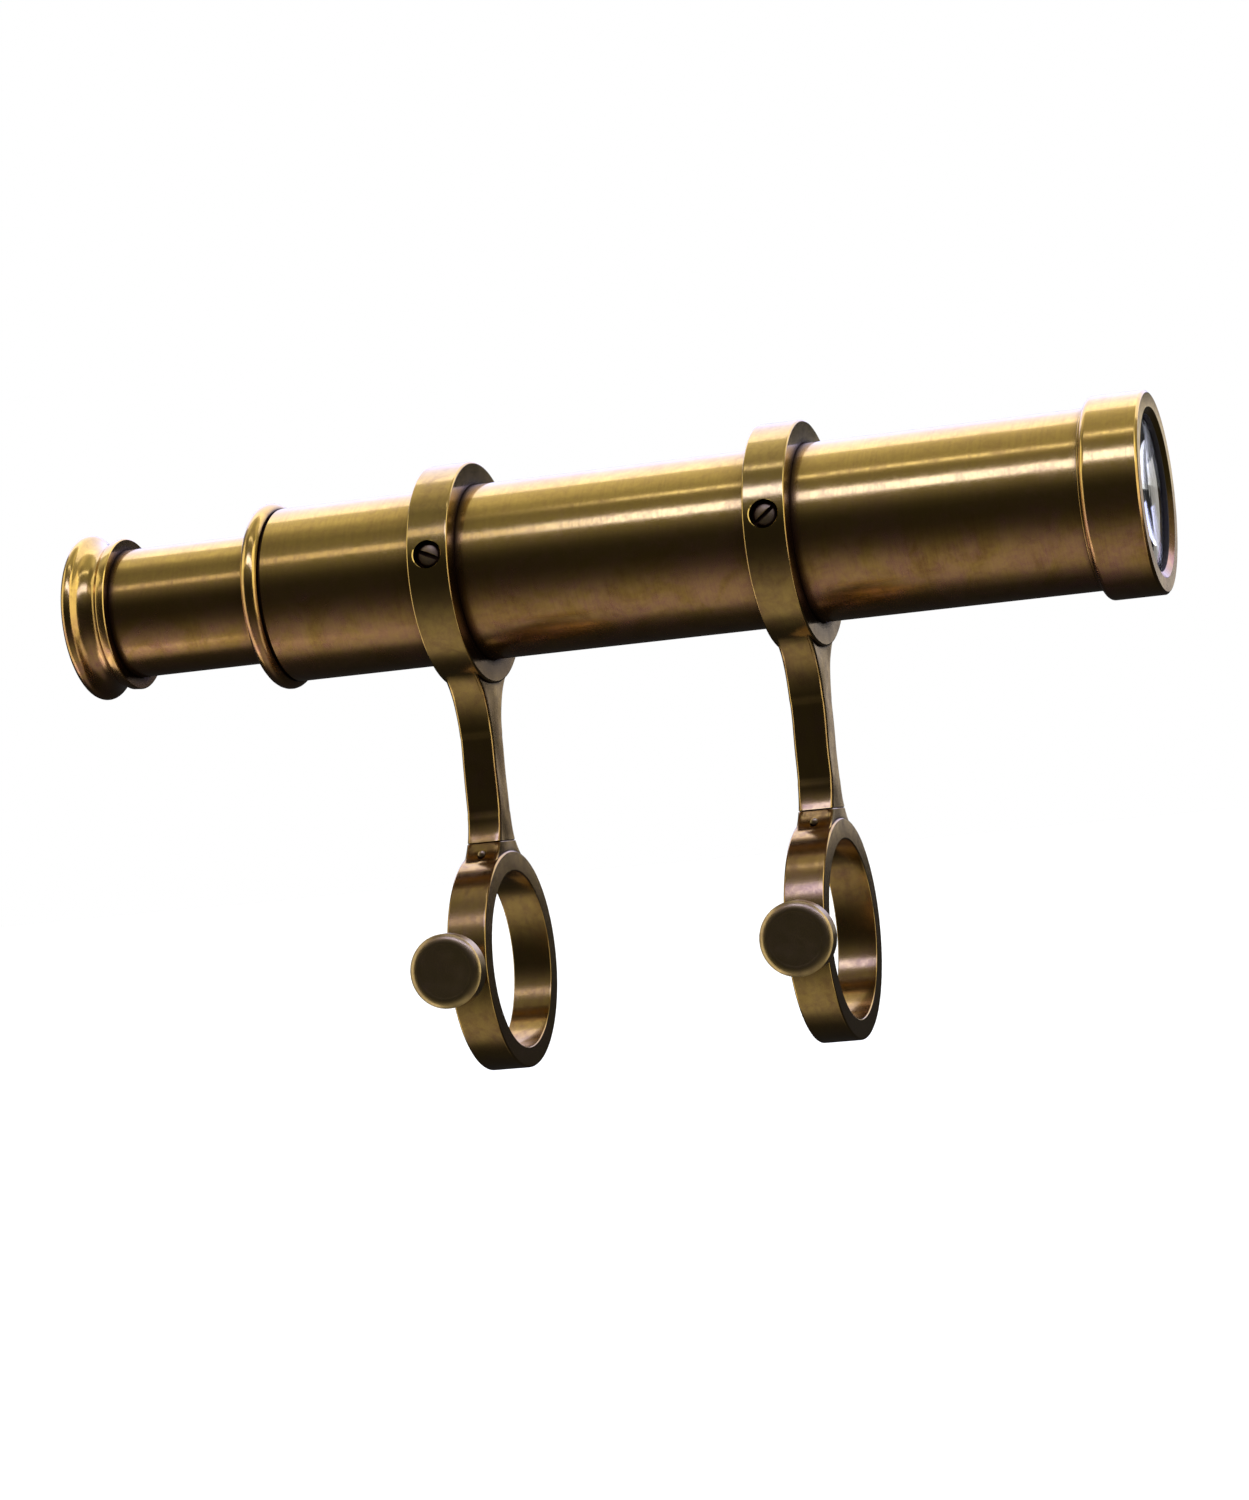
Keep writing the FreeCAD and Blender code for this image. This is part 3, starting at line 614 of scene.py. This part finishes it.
def make_eyecup():
    """Dished eyecup: rolled rim, hollow waist and a sharp shoulder."""
    rear, front = mm(cup_low.x) + 0.01, mm(cup_high.x)
    draw_rear, draw_r = mm(draw_low.x), mm(DRAW_R)
    profile = outline(
        (CUP_SEAT_X, CUP_OPENING_R, 0.15),
        (CUP_FLOOR_X, CUP_OPENING_R, 0.3),
        ((-75.8, 10.4), (rear + 0.9, 13.4)),
        ((rear + 0.12, 14.2), (rear + 0.2, CUP_RIM_R - 0.9)),
        ((rear + 1.2, CUP_RIM_R), (rear + 2.6, CUP_RIM_R - 0.6)),
        ((front - 3.6, CUP_WAIST_R), (front - 1.5, CUP_SHOULDER_R - 0.1)),
        (front - 0.2, CUP_SHOULDER_R, 0.08),
        (front, CUP_SHOULDER_R - 0.2, 0.08),
        (front, draw_r, 0.1),
        (draw_rear, draw_r),
        (draw_rear, CUP_SEAT_R),
        (CUP_SEAT_X, CUP_SEAT_R),
    )
    cup = turned("eyecup_dish", profile, matrix=on_axis())
    finish_piece(cup, "draw_body", "barrel_brass", "eyecup")


# ---- brackets -----------------------------------------------------------------------------------
ARM_HALF_X = 3.4             # millimetres
ARM_HALF_Y = 3.25
ARM_STEP = 0.25
ARM_ROUND = 0.75
UPPER_FLARE = 15.0
LOWER_FLARE = 11.0
ROW_STEP = 0.8
JOINT_EDGE = 0.16
FILING_SCALE = 0.16          # waves per millimetre left by hand filing
FILING_DEPTH = 0.14
TENON = (3.6, 4.6, 4.8)      # along X, along Y, and down from the joint
TENON_ROOT = 1.0             # how far it reaches up into the arm


def screw_axis(side, radius):
    """Point on a ring screw's axis at a distance from the scope's axis, and the way it points."""
    out = Vector((0, -math.cos(SCREW_LIFT), math.sin(SCREW_LIFT)))
    return Vector((RING_X[side], 0, AXIS_Z)) + out * radius * MM, out


def screw_cutter(side, radius, start, end, flare=0.0):
    """Drill for a ring screw, opening out by the flare at its outer end."""
    place, out = screw_axis(side, start)
    length = end - start
    mouth = ((length - 2 * flare, radius), (length, radius + 2 * flare))
    profile = outline((0, 0), (0, radius), *mouth, (length, 0))
    return turned("drill", profile, 64, pointing(place, out))


def flare(ring_r, ring_z, flare_r, up):
    """Hollow flare into a ring: its centre's y and z, and the (y, z) where it meets the ring."""
    y = ARM_HALF_Y + ARM_STEP + flare_r
    reach = ring_r - 0.1 + flare_r
    drop = math.sqrt(reach ** 2 - y ** 2)
    z = ring_z - up * drop
    return y, z, y - flare_r * y / reach, z + up * flare_r * drop / reach


def arm_half_depth(z):
    """Half of the arm's depth at a height: flare, milled face, flare."""
    low_y, low_z, low_end_y, low_end_z = flare(mm(CLAMP_RING_R), 0.0, LOWER_FLARE, -1)
    top_y, top_z, top_end_y, top_end_z = flare(mm(UPPER_RING_R), mm(AXIS_Z), UPPER_FLARE, 1)
    if z <= low_end_z:
        return low_end_y
    if z >= top_end_z:
        return top_end_y
    if z < low_z:
        return low_y - math.sqrt(LOWER_FLARE ** 2 - (low_z - z) ** 2)
    if z > top_z:
        return top_y - math.sqrt(UPPER_FLARE ** 2 - (z - top_z) ** 2)
    edge = min(z - low_z, top_z - z)
    return ARM_HALF_Y + ARM_STEP * max(0.0, 1 - edge / ARM_STEP)


def arm_rows(start, end, cap):
    """Heights, half depths and insets from the joint's softened edge to the cap inside the ring's wall."""
    way = 1 if end > start else -1
    heights = [start + way * JOINT_EDGE]
    while abs(end - heights[-1]) > ROW_STEP:
        heights.append(heights[-1] + way * ROW_STEP)
    heights += [end, cap]
    rows = [(start, arm_half_depth(start) - JOINT_EDGE, JOINT_EDGE)]
    return rows + [(z, arm_half_depth(z), 0.0) for z in heights]


def arm_section(half_y, inset, corner_points=6, spans=12):
    """Rounded-rectangle section as (x, y) points, with each flat side cut into spans."""
    r = ARM_ROUND
    half_x = ARM_HALF_X - inset
    points = []
    for sx, sy, first in ((1, 1, 0), (-1, 1, 90), (-1, -1, 180), (1, -1, 270)):
        for i in range(corner_points):
            a = math.radians(first + 90 * i / (corner_points - 1))
            points.append((sx * (half_x - r) + r * math.cos(a), sy * (half_y - r) + r * math.sin(a)))
    full = []
    for i, point in enumerate(points):
        after = points[(i + 1) % len(points)]
        full.append(point)
        if i % corner_points == corner_points - 1:
            for k in range(1, spans):
                share = k / spans
                full.append(tuple(p + (q - p) * share for p, q in zip(point, after)))
    return full


def cast_arm(name, side, rows, seed):
    """Arm lofted through level rows, with the slight unevenness of a hand-finished casting."""
    mesh = bmesh.new()
    layers = []
    for z, half_y, inset in rows:
        layer = []
        for x, y in arm_section(half_y, inset):
            at = Vector((x, y, z)) * FILING_SCALE
            uneven = (noise.noise(at + Vector((seed, 0, 0))), noise.noise(at + Vector((0, seed, 0))))
            place = Vector((x + uneven[0] * FILING_DEPTH, y + uneven[1] * FILING_DEPTH, z)) * MM
            place.x += RING_X[side]
            layer.append(mesh.verts.new(place))
        layers.append(layer)
    for a, b in zip(layers, layers[1:]):
        for i in range(len(a)):
            j = (i + 1) % len(a)
            mesh.faces.new((a[i], a[j], b[j], b[i]))
    mesh.faces.new(layers[0])
    mesh.faces.new(layers[-1])
    return placed_piece(name, mesh)


def ring_solid(name, half, radius, bore, matrix):
    profile = outline(
        (-half, bore, 0.25),
        (-half, radius, 0.4),
        (half, radius, 0.4),
        (half, bore, 0.25),
    )
    return turned(name, profile, matrix=matrix)


def pin_cutter(side, radius, half):
    place = Vector((RING_X[side], -half * MM, PIN_Z))
    return turned("pin_drill", outline((0, 0), (0, radius), (2 * half, radius), (2 * half, 0)), 48,
                  pointing(place, (0, 1, 0)))


def tenon(side, top, grow=0.0):
    """Tongue that joins the arm to the clamp ring's foot, or with grow, the cutter for its slot."""
    mesh = bmesh.new()
    bmesh.ops.create_cube(mesh, size=1.0)
    wide, deep, drop = TENON
    size = Vector((wide + grow, deep + grow, drop + top)) * MM
    low_z = JOINT_Z - drop * MM
    mesh.transform(Matrix.Translation((RING_X[side], 0, low_z + size.z / 2)) @ Matrix.Diagonal((*size, 1)))
    bmesh.ops.bevel(mesh, geom=mesh.edges[:], offset=0.1 * MM, segments=1, affect="EDGES")
    data = bpy.data.meshes.new("tenon")
    mesh.to_mesh(data)
    mesh.free()
    return new_piece("tenon", data)


def make_bracket(side, seed):
    """Upper ring and arm in one casting, with a tenon at the foot and a counterbored screw hole."""
    inside = mm(AXIS_Z) - mm(TUBE_R) - 0.5
    arm = cast_arm("arm", side, arm_rows(mm(JOINT_Z), inside - 0.9, inside), seed)
    place = on_axis(RING_X[side])
    piece = ring_solid(side + "_bracket_casting", mm(UPPER_RING_HALF), mm(UPPER_RING_R), mm(TUBE_R), place)
    combine(
        piece,
        ("UNION", arm),
        ("UNION", tenon(side, TENON_ROOT)),
        ("DIFFERENCE", screw_cutter(side, SCREW_HOLE_R, 15.0, 30.0)),
        ("DIFFERENCE", screw_cutter(side, COUNTERBORE_R, SCREW_SEAT, 21.75, 0.22)),
        ("DIFFERENCE", pin_cutter(side, PIN_HOLE_R, 12.0)),
    )
    clean(piece)
    return finish_piece(piece, "scope_body", "bracket_brass", side + "_bracket")


def make_clamp_ring(side, seed):
    """Lower ring with the arm's foot, the pin hole and the threaded thumb-screw hole."""
    inside = mm(CLAMP_BORE_R) + 0.4
    foot = cast_arm("foot", side, arm_rows(mm(JOINT_Z), inside + 1.0, inside), seed)
    place = Matrix.Translation((RING_X[side], 0, 0))
    name, half = side + "_clamp_casting", mm(CLAMP_RING_HALF)
    piece = ring_solid(name, half, mm(CLAMP_RING_R), mm(CLAMP_BORE_R), place)
    lead_in, drill_end = 9.3, 16.0
    bore = outline((0, 0), (0, 2.8), (lead_in, THREAD_HOLE_R), (drill_end, THREAD_HOLE_R), (drill_end, 0))
    drill = turned("drill", bore, 64, pointing((RING_X[side], -30.0 * MM, 0), (0, 1, 0)))
    combine(
        piece,
        ("UNION", foot),
        ("DIFFERENCE", tenon(side, TENON_ROOT, 0.04)),
        ("DIFFERENCE", drill),
        ("DIFFERENCE", pin_cutter(side, PIN_HOLE_R, 12.0)),
    )
    clean(piece)
    return finish_piece(piece, "scope_body", "bracket_brass", side + "_clamp_ring")


# ---- screws and pins ----------------------------------------------------------------------------
def make_arm_pins():
    """Pins with slightly domed, hand-filed ends."""
    pins = []
    half = mm(PIN_HALF)
    for side in SIDES:
        profile = outline((-half, 0), ((-half + 0.05, 0.4), (-half + 0.2, 0.74)), (-half + 0.5, PIN_R),
                          (half - 0.5, PIN_R), (half - 0.2, 0.74), ((half - 0.05, 0.4), (half, 0)))
        pins.append(turned("pin", profile, 40, pointing((RING_X[side], 0, PIN_Z), (0, 1, 0))))
    piece = combine(pins[0], ("UNION", pins[1]))
    piece.name = "arm_pins_filed"
    finish_piece(piece, "scope_body", "screw_brass", "arm_pins")


def slot_cutter(matrix):
    """Bar with flared top edges that cuts a screw's slot across the X axis."""
    mesh = bmesh.new()
    wide, narrow, depth = 0.50 * MM, 0.35 * MM, 0.8 * MM
    section = [(0.4 * MM, 1.9 * wide), (0.0, wide), (-0.16 * MM, narrow), (-depth, narrow)]
    section += [(x, -y) for x, y in reversed(section)]
    ends = [[mesh.verts.new((x, y, z)) for x, y in section] for z in (-4 * MM, 4 * MM)]
    for i in range(len(section)):
        j = (i + 1) % len(section)
        mesh.faces.new((ends[0][i], ends[0][j], ends[1][j], ends[1][i]))
    mesh.faces.new(ends[0])
    mesh.faces.new(ends[1])
    return placed_piece("slot", mesh, matrix)


def make_ring_screws():
    """Two slotted cheese-head screws at the bottom of their counterbores."""
    screws = []
    for side in SIDES:
        place, out = screw_axis(side, SCREW_TOP)
        profile = outline(
            (0, 0),
            ((-0.06, 1.2), (-0.22, 2.0)),
            (-0.5, SCREW_HEAD_R, 0.3),
            (-SCREW_HEAD_LENGTH, SCREW_HEAD_R),
            (-SCREW_HEAD_LENGTH, SCREW_SHANK_R),
            (-4.75, SCREW_SHANK_R, 0.2),
            (-4.75, 0),
        )
        screw = turned(side + "_ring_screw", profile, 96, pointing(place, out))
        turn = Matrix.Rotation(math.radians(SLOT_TURN[side]), 4, "X")
        screws.append(combine(screw, ("DIFFERENCE", slot_cutter(pointing(place, out) @ turn))))
    for screw in screws:
        clean(screw)
    finish_piece(screws[0], "scope_body", "screw_brass", "ring_screws")
    finish_piece(screws[1], "scope_body", "screw_brass")


def threaded_rod(name, length, outer, pitch, matrix):
    """Right-handed thread along +X from 0, as one closed skin."""
    facets, rows_per_turn = 48, 8
    depth = 0.55 * pitch
    rows = round(length / pitch * rows_per_turn)
    mesh = bmesh.new()
    layers = []
    for k in range(rows + 1):
        x = length * k / rows
        fade = min(1.0, x / pitch, (length - x) / pitch)
        layer = []
        for i in range(facets):
            a = 2 * math.pi * i / facets
            phase = (x / pitch - i / facets) % 1.0
            dip = max(0.0, 1.0 - abs(phase - 0.5) * 2.6)
            r = outer - depth * (1.0 - (1.0 - dip) * fade)
            layer.append(mesh.verts.new((x * MM, r * math.cos(a) * MM, r * math.sin(a) * MM)))
        layers.append(layer)
    for a, b in zip(layers, layers[1:]):
        for i in range(facets):
            j = (i + 1) % facets
            mesh.faces.new((a[i], a[j], b[j], b[i]))
    mesh.faces.new(layers[0])
    mesh.faces.new(layers[-1])
    return placed_piece(name, mesh, matrix)


def make_thumb_screw(side):
    """Disc head with a bevelled face, a short neck and a threaded shank with a hollow tip."""
    low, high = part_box(side + "_thumb_screw")
    face, tip = mm(low.y) + 0.03, mm(high.y)
    radius = mm((high.z - low.z) / 2)
    back = THUMB_HEAD_LENGTH
    neck_end = back + THUMB_NECK_LENGTH
    reach = tip - face
    place = pointing((RING_X[side], face * MM, 0), (0, 1, 0))
    profile = outline(
        (0.12, 0.0),
        (0.08, 2.4),
        ((0.02, 3.8), (0.0, 4.6)),
        (0.0, 4.9, 0.2),
        ((0.14, 6.2), (0.7, radius - 0.02)),
        (back - 0.3, radius, 0.25),
        (back, radius - 0.3, 0.2),
        (back, THUMB_NECK_R, 0.3),
        (neck_end, THUMB_NECK_R, 0.3),
        (neck_end, 0.0),
    )
    head = turned(side + "_thumb_screw_head", profile, matrix=place)
    start = back + 1.2
    thread_place = place @ Matrix.Translation((start * MM, 0, 0))
    shank = threaded_rod("shank", reach - start, THREAD_R, THREAD_PITCH, thread_place)
    stem_hole = outline((-STEM_HOLE_DEPTH, 0), (-STEM_HOLE_DEPTH, STEM_HOLE_R), (1.0, STEM_HOLE_R), (1.0, 0))
    hollow = turned("hollow", stem_hole, 48, place @ Matrix.Translation((reach * MM, 0, 0)))
    combine(head, ("UNION", shank), ("DIFFERENCE", hollow))
    clean(head)
    finish_piece(head, side + "_thumb", "screw_brass", side + "_thumb_screw")


# ---- studio -------------------------------------------------------------------------------------
FLOOR_Z = cad_low.z - 0.11
FLOOR_HALF = 12.0
STUDIO_CENTRE = Vector((0.03, 0.0, 0.06))

# Brightness that light and reflections find at each height above the horizon, in degrees: in the half
# of the room on the camera's side (-Y), and in the half behind the object.
ROOM_FRONT = ((-90, 0.36), (-65, 0.44), (-51, 0.36), (-37, 0.18), (-25, 0.07), (-10, 0.03), (10, 0.025),
              (20, 0.05), (31, 0.15), (42, 0.25), (62, 0.21), (70, 0.40), (90, 0.46))
ROOM_BACK = ((-90, 0.28), (-80, 0.16), (-66, 0.03), (-40, 0.02), (-20, 0.02), (0, 0.03), (12, 0.08),
             (25, 0.25), (45, 0.50), (58, 0.90), (67, 0.85), (77, 0.52), (90, 0.46))


def soft_card(name, azimuth, low, high, left, right, brightness, colour=(1, 1, 1)):
    """Soft box from one height angle to another and from left to right, seen from the object.

    Azimuth 0 is behind the camera, 180 behind the object.
    """
    distance = 1.5
    turn = math.radians(azimuth)
    lift = math.radians((low + high) / 2)
    out = Vector((math.sin(turn) * math.cos(lift), -math.cos(turn) * math.cos(lift), math.sin(lift)))
    across = Vector((-math.cos(turn), -math.sin(turn), 0))
    height = 2 * distance * math.tan(math.radians(high - low) / 2)
    data = bpy.data.lights.new(name, "AREA")
    data.shape = "RECTANGLE"
    data.size = right - left
    data.size_y = height
    data.energy = brightness * math.pi * (right - left) * height
    data.color = colour
    light = bpy.data.objects.new(name, data)
    light.location = STUDIO_CENTRE + out * distance + across * (left + right) / 2
    light.rotation_euler = out.to_track_quat("Z", "Y").to_euler()
    light.visible_camera = False
    bpy.context.scene.collection.objects.link(light)


def room_ramp(tree, levels, share):
    ramp = tree.nodes.new("ShaderNodeValToRGB")
    stops = ramp.color_ramp.elements
    while len(stops) < len(levels):
        stops.new(0.5)
    for stop, (height, level) in zip(stops, levels):
        stop.position = (height + 90) / 180
        stop.color = (level, level, level, 1)
    tree.links.new(share, ramp.inputs["Fac"])
    return ramp.outputs["Color"]


def make_world():
    """White for the camera; for light and reflections, a dim room with a pale ceiling and floor."""
    world = bpy.data.worlds.new("studio")
    bpy.context.scene.world = world
    world.use_nodes = True
    tree = world.node_tree
    tree.nodes.clear()
    add = tree.nodes.new
    output = add("ShaderNodeOutputWorld")
    seen = add("ShaderNodeBackground")
    lit = add("ShaderNodeBackground")
    choose = add("ShaderNodeMixShader")
    path = add("ShaderNodeLightPath")
    place = add("ShaderNodeTexCoord")
    split = add("ShaderNodeSeparateXYZ")
    angle = add("ShaderNodeMath")
    angle.operation = "ARCSINE"
    share = add("ShaderNodeMapRange")
    share.inputs["From Min"].default_value = -math.pi / 2
    share.inputs["From Max"].default_value = math.pi / 2
    depth = add("ShaderNodeMapRange")
    depth.interpolation_type = "SMOOTHSTEP"
    depth.inputs["From Min"].default_value = -0.12
    depth.inputs["From Max"].default_value = 0.12
    blend = add("ShaderNodeMix")
    blend.data_type = "RGBA"
    seen.inputs["Color"].default_value = (1, 1, 1, 1)
    links = tree.links
    links.new(place.outputs["Generated"], split.inputs[0])
    links.new(split.outputs["Z"], angle.inputs[0])
    links.new(angle.outputs[0], share.inputs["Value"])
    links.new(split.outputs["Y"], depth.inputs["Value"])
    links.new(depth.outputs["Result"], blend.inputs[0])
    links.new(room_ramp(tree, ROOM_FRONT, share.outputs["Result"]), blend.inputs[6])
    links.new(room_ramp(tree, ROOM_BACK, share.outputs["Result"]), blend.inputs[7])
    links.new(blend.outputs[2], lit.inputs["Color"])
    links.new(path.outputs["Is Camera Ray"], choose.inputs["Fac"])
    links.new(lit.outputs[0], choose.inputs[1])
    links.new(seen.outputs[0], choose.inputs[2])
    links.new(choose.outputs[0], output.inputs["Surface"])


def make_floor():
    mesh = bpy.data.meshes.new("floor")
    corners = [(x, y, FLOOR_Z) for x, y in ((-1, -1), (1, -1), (1, 1), (-1, 1))]
    mesh.from_pydata([(x * FLOOR_HALF, y * FLOOR_HALF, z) for x, y, z in corners], [], [(0, 1, 2, 3)])
    floor = bpy.data.objects.new("floor", mesh)
    floor.visible_glossy = False
    bpy.context.scene.collection.objects.link(floor)
    g = Graph("floor_paper")
    g.shader.inputs["Base Color"].default_value = (0.86, 0.86, 0.86, 1)
    g.shader.inputs["Roughness"].default_value = 1.0
    g.shader.inputs["Specular IOR Level"].default_value = 0.0
    mesh.materials.append(g.material)


def make_floor_sun():
    """Even daylight on the floor; it never shows as a highlight."""
    data = bpy.data.lights.new("floor_sun", "SUN")
    data.energy = 3.4
    data.angle = math.radians(70)
    sun = bpy.data.objects.new("floor_sun", data)
    sun.visible_glossy = False
    bpy.context.scene.collection.objects.link(sun)


def make_studio():
    make_world()
    make_floor()
    make_floor_sun()
    soft_card("window", 0, 40.5, 51.5, -1.5, 0.47, 2.5, (0.86, 1.0, 2.9))
    soft_card("window_edge", 0, 42, 50, 0.47, 1.5, 0.75, (1.0, 0.96, 1.5))
    soft_card("window_bar", 0, 71.5, 76.0, -1.5, 0.45, 1.3, (0.95, 1.0, 1.6))
    soft_card("backdrop", 180, 12, 68, -1.5, 1.5, 1.2, (0.95, 1.0, 1.7))
    soft_card("left_side", -78, -50, 45, -0.5, 0.5, 1.25)
    soft_card("right_side", 73, -15, 50, -0.4, 0.4, 1.6)
    soft_card("left_low", -75, -60, -42, -0.35, 0.35, 1.0)
    soft_card("right_low", 72, -48, -20, -0.3, 0.3, 0.8)
    soft_card("far_right", 167, -2, 6, -0.13, 0.13, 0.7, (1.0, 0.95, 0.86))


make_camera()
make_studio()
paint_cad_nodes()
make_main_tube()
make_objective_cell()
make_crown_lens()
make_guide_collar()
make_draw_tube()
make_eyecup()
for seed, side in enumerate(SIDES):
    make_bracket(side, 3.1 + 7.7 * seed)
    make_clamp_ring(side, 5.3 + 9.1 * seed)
    make_thumb_screw(side)
make_arm_pins()
make_ring_screws()
bpy.context.scene.view_settings.view_transform = "Standard"
